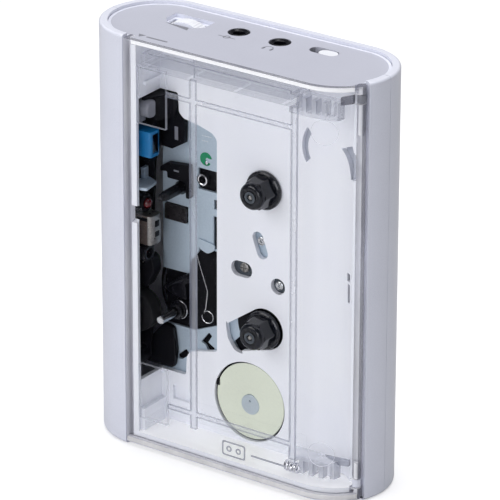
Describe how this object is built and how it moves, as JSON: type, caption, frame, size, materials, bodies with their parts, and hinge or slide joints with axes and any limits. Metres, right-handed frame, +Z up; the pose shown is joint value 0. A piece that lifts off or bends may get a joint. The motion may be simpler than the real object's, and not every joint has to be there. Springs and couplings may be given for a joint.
{
  "type": "portable cassette player",
  "caption": "Pocket cassette player with a stadium-shaped case and a clear front door hinged on one side, over the tape well, spindles, heads and motor.",
  "frame": {"origin": "centre of the footprint, on the surface that the player stands on", "axes": "+X to the right as the user faces the door, +Y towards the back, +Z up"},
  "size_m": [0.094, 0.0336, 0.125],
  "materials": {
    "shell_white": "satin white moulding with a faint pearl fleck",
    "well_white": "fine matt white moulding",
    "clear_plastic": "clear polished acrylic",
    "key_grey": "matt pale grey moulding",
    "black_plastic": "black moulding with a slight sheen",
    "black_rubber": "matt black rubber",
    "plated_steel": "blue-grey zinc plate",
    "bright_steel": "polished steel",
    "blue_plastic": "blue moulding",
    "red_lens": "clear red lens",
    "motor_label": "pale yellow-green varnished end face",
    "brass": "turned brass",
    "nylon": "natural nylon",
    "board_green": "green solder mask",
    "battery_wrap": "printed shrink sleeve with no lettering"
  },
  "bodies": {
    "case": {"front_shell": "shell_white", "rear_cover": "shell_white", "top_panel": "well_white", "bottom_panel": "well_white", "case_screw_lower": "bright_steel", "case_screw_upper": "bright_steel", "cassette_well": "well_white", "upper_hinge_lug": "black_plastic", "lower_hinge_lug": "black_plastic", "upper_hinge_pin": "bright_steel", "lower_hinge_pin": "bright_steel", "chassis_plate": "plated_steel", "mechanism_frame": "black_plastic", "supply_pin": "bright_steel", "takeup_pin": "bright_steel", "reel_bridge": "plated_steel", "capstan_bearing": "black_plastic", "motor": "motor_label", "drive_belt": "black_rubber", "head_mount": "black_plastic", "guide_pin": "black_plastic", "control_lever": "black_plastic", "pinch_pivot_pin": "bright_steel", "pinch_spring": "bright_steel", "key_rail": "black_plastic", "volume_pot": "black_plastic", "aux_jack": "black_plastic", "headphone_jack": "black_plastic", "circuit_board": "board_green", "lower_battery": "battery_wrap", "upper_battery": "battery_wrap", "battery_spring": "bright_steel", "battery_contact": "bright_steel"},
    "door": {"door_lid": "clear_plastic", "upper_bracket": "clear_plastic", "lower_bracket": "clear_plastic", "door_latch": "clear_plastic", "door_spring": "bright_steel"},
    "supply_reel": {"supply_spindle": "black_plastic"},
    "takeup_reel": {"takeup_spindle": "black_plastic"},
    "idler": {"idler_gear": "nylon"},
    "capstan": {"capstan_shaft": "bright_steel", "flywheel": "bright_steel"},
    "motor_rotor": {"motor_pulley": "brass"},
    "head_slide": {"head_base": "black_plastic", "playback_head": "bright_steel", "erase_head": "blue_plastic", "tape_guide": "bright_steel", "pilot_lamp": "red_lens"},
    "pinch_arm": {"pinch_arm": "black_plastic", "pinch_axle": "bright_steel"},
    "pinch_roller": {"pinch_roller": "black_rubber"},
    "play_key": {"play_key": "key_grey"},
    "stop_key": {"stop_key": "key_grey"},
    "rewind_key": {"rewind_key": "key_grey"},
    "forward_key": {"forward_key": "key_grey"},
    "volume_wheel": {"volume_wheel": "well_white"},
    "mode_switch": {"mode_switch": "shell_white"},
    "battery_door": {"battery_door": "shell_white"}
  },
  "joints": [
    {"name": "door_hinge", "type": "hinge", "parent": "case", "child": "door", "pos_m": [0.04323, -0.0084, 0.0625], "axis": [0, 0, 1], "range_deg": [0, 80]},
    {"name": "capstan_spin", "type": "hinge", "parent": "case", "child": "capstan", "pos_m": [-0.0217, 0, 0.0395], "axis": [0, 1, 0], "continuous": true},
    {"name": "motor_spin", "type": "hinge", "parent": "case", "child": "motor_rotor", "pos_m": [0.0029, 0, 0.0172], "axis": [0, 1, 0], "continuous": true},
    {"name": "idler_spin", "type": "hinge", "parent": "case", "child": "idler", "pos_m": [-0.00955, 0, 0.04038], "axis": [0, 1, 0], "continuous": true},
    {"name": "takeup_spin", "type": "hinge", "parent": "case", "child": "takeup_reel", "pos_m": [0.0081, 0, 0.04125], "axis": [0, 1, 0], "continuous": true},
    {"name": "supply_spin", "type": "hinge", "parent": "case", "child": "supply_reel", "pos_m": [0.0081, 0, 0.08375], "axis": [0, 1, 0], "continuous": true},
    {"name": "roller_spin", "type": "hinge", "parent": "pinch_arm", "child": "pinch_roller", "pos_m": [-0.0314, 0, 0.0395], "axis": [0, 1, 0], "continuous": true},
    {"name": "play_key_travel", "type": "slide", "parent": "case", "child": "play_key", "axis": [1, 0, 0], "range_m": [0, 0.002], "stiffness_N_per_m": 150},
    {"name": "stop_key_travel", "type": "slide", "parent": "case", "child": "stop_key", "axis": [1, 0, 0], "range_m": [0, 0.002], "stiffness_N_per_m": 150},
    {"name": "rewind_key_travel", "type": "slide", "parent": "case", "child": "rewind_key", "axis": [1, 0, 0], "range_m": [0, 0.002], "stiffness_N_per_m": 150},
    {"name": "forward_key_travel", "type": "slide", "parent": "case", "child": "forward_key", "axis": [1, 0, 0], "range_m": [0, 0.002], "stiffness_N_per_m": 150},
    {"name": "head_slide_travel", "type": "slide", "parent": "case", "child": "head_slide", "axis": [1, 0, 0], "range_m": [0, 0.0027]},
    {"name": "pinch_arm_swing", "type": "hinge", "parent": "case", "child": "pinch_arm", "pos_m": [-0.0326, 0, 0.0245], "axis": [0, 1, 0], "range_deg": [0, 8]},
    {"name": "volume_turn", "type": "hinge", "parent": "case", "child": "volume_wheel", "pos_m": [-0.0236, 0, 0.1153], "axis": [0, 1, 0], "range_deg": [0, 270]},
    {"name": "mode_switch_travel", "type": "slide", "parent": "case", "child": "mode_switch", "axis": [-1, 0, 0], "range_m": [0, 0.0024]},
    {"name": "battery_door_hinge", "type": "hinge", "parent": "case", "child": "battery_door", "pos_m": [0.0295, 0.0168, 0.0083], "axis": [-1, 0, 0], "range_deg": [0, 75]}
  ],
  "couplings": [
    {"joint": "motor_spin", "follows": "capstan_spin", "ratio": 5},
    {"joint": "idler_spin", "follows": "capstan_spin", "ratio": -0.4},
    {"joint": "takeup_spin", "follows": "capstan_spin", "ratio": 0.381},
    {"joint": "roller_spin", "follows": "capstan_spin", "ratio": -0.1984},
    {"joint": "head_slide_travel", "follows": "play_key_travel", "ratio": 1.3},
    {"joint": "pinch_arm_swing", "follows": "play_key_travel", "rad_per_m": 57.596}
  ]
}
